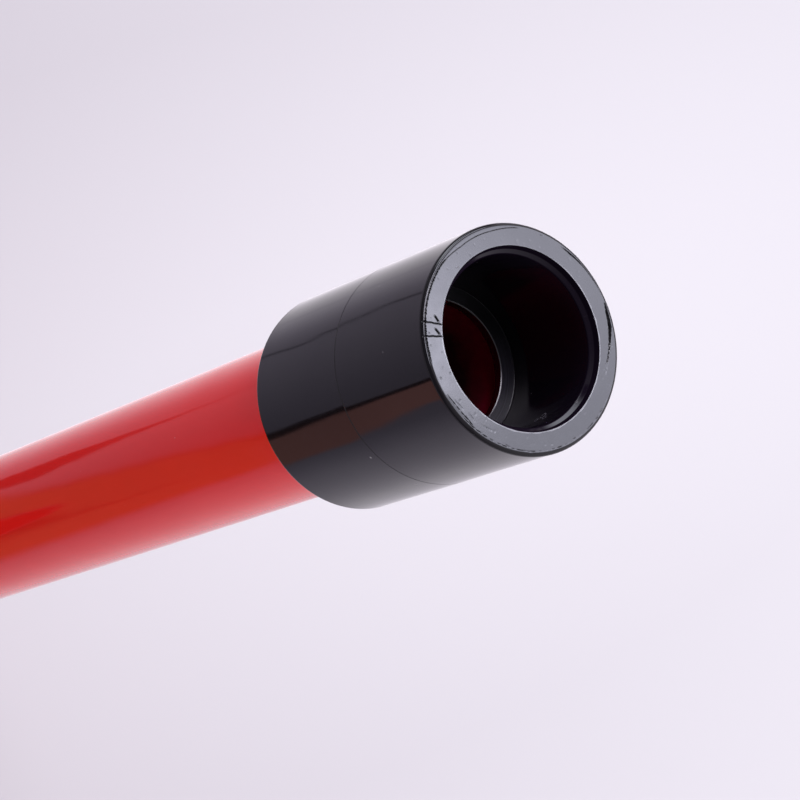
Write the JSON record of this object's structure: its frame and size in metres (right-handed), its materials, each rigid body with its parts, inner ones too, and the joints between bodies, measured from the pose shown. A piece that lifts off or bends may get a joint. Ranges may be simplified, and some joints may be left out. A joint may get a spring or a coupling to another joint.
{
  "type": "post driver",
  "caption": "Hand-held tubular post driver with a solid anvil in its closed head, side handles and a socketed guide collar at its open mouth.",
  "frame": {"origin": "centre of the head plate's outer face, on the tube's axis", "axes": "+Z along the tube from the closed head to the open mouth, +X towards the right handle, +Y square to the plane of the handles"},
  "size_m": [0.228, 0.0814, 0.8],
  "materials": {
    "red_paint": "gloss",
    "black_plastic": "gloss",
    "anvil_steel": "turned, worn by blows",
    "pin_steel": "zinc plated",
    "grip_rubber": "matt"
  },
  "bodies": {
    "root": {"driver_tube": "red_paint", "head_plate": "red_paint", "head_weld": "red_paint", "anvil": "anvil_steel", "anvil_pins": "pin_steel", "mouth_collar": "black_plastic", "right_handle": "red_paint", "right_grip": "grip_rubber", "right_lower_weld": "red_paint", "right_upper_weld": "red_paint", "left_handle": "red_paint", "left_grip": "grip_rubber", "left_lower_weld": "red_paint", "left_upper_weld": "red_paint"}
  },
  "joints": []
}
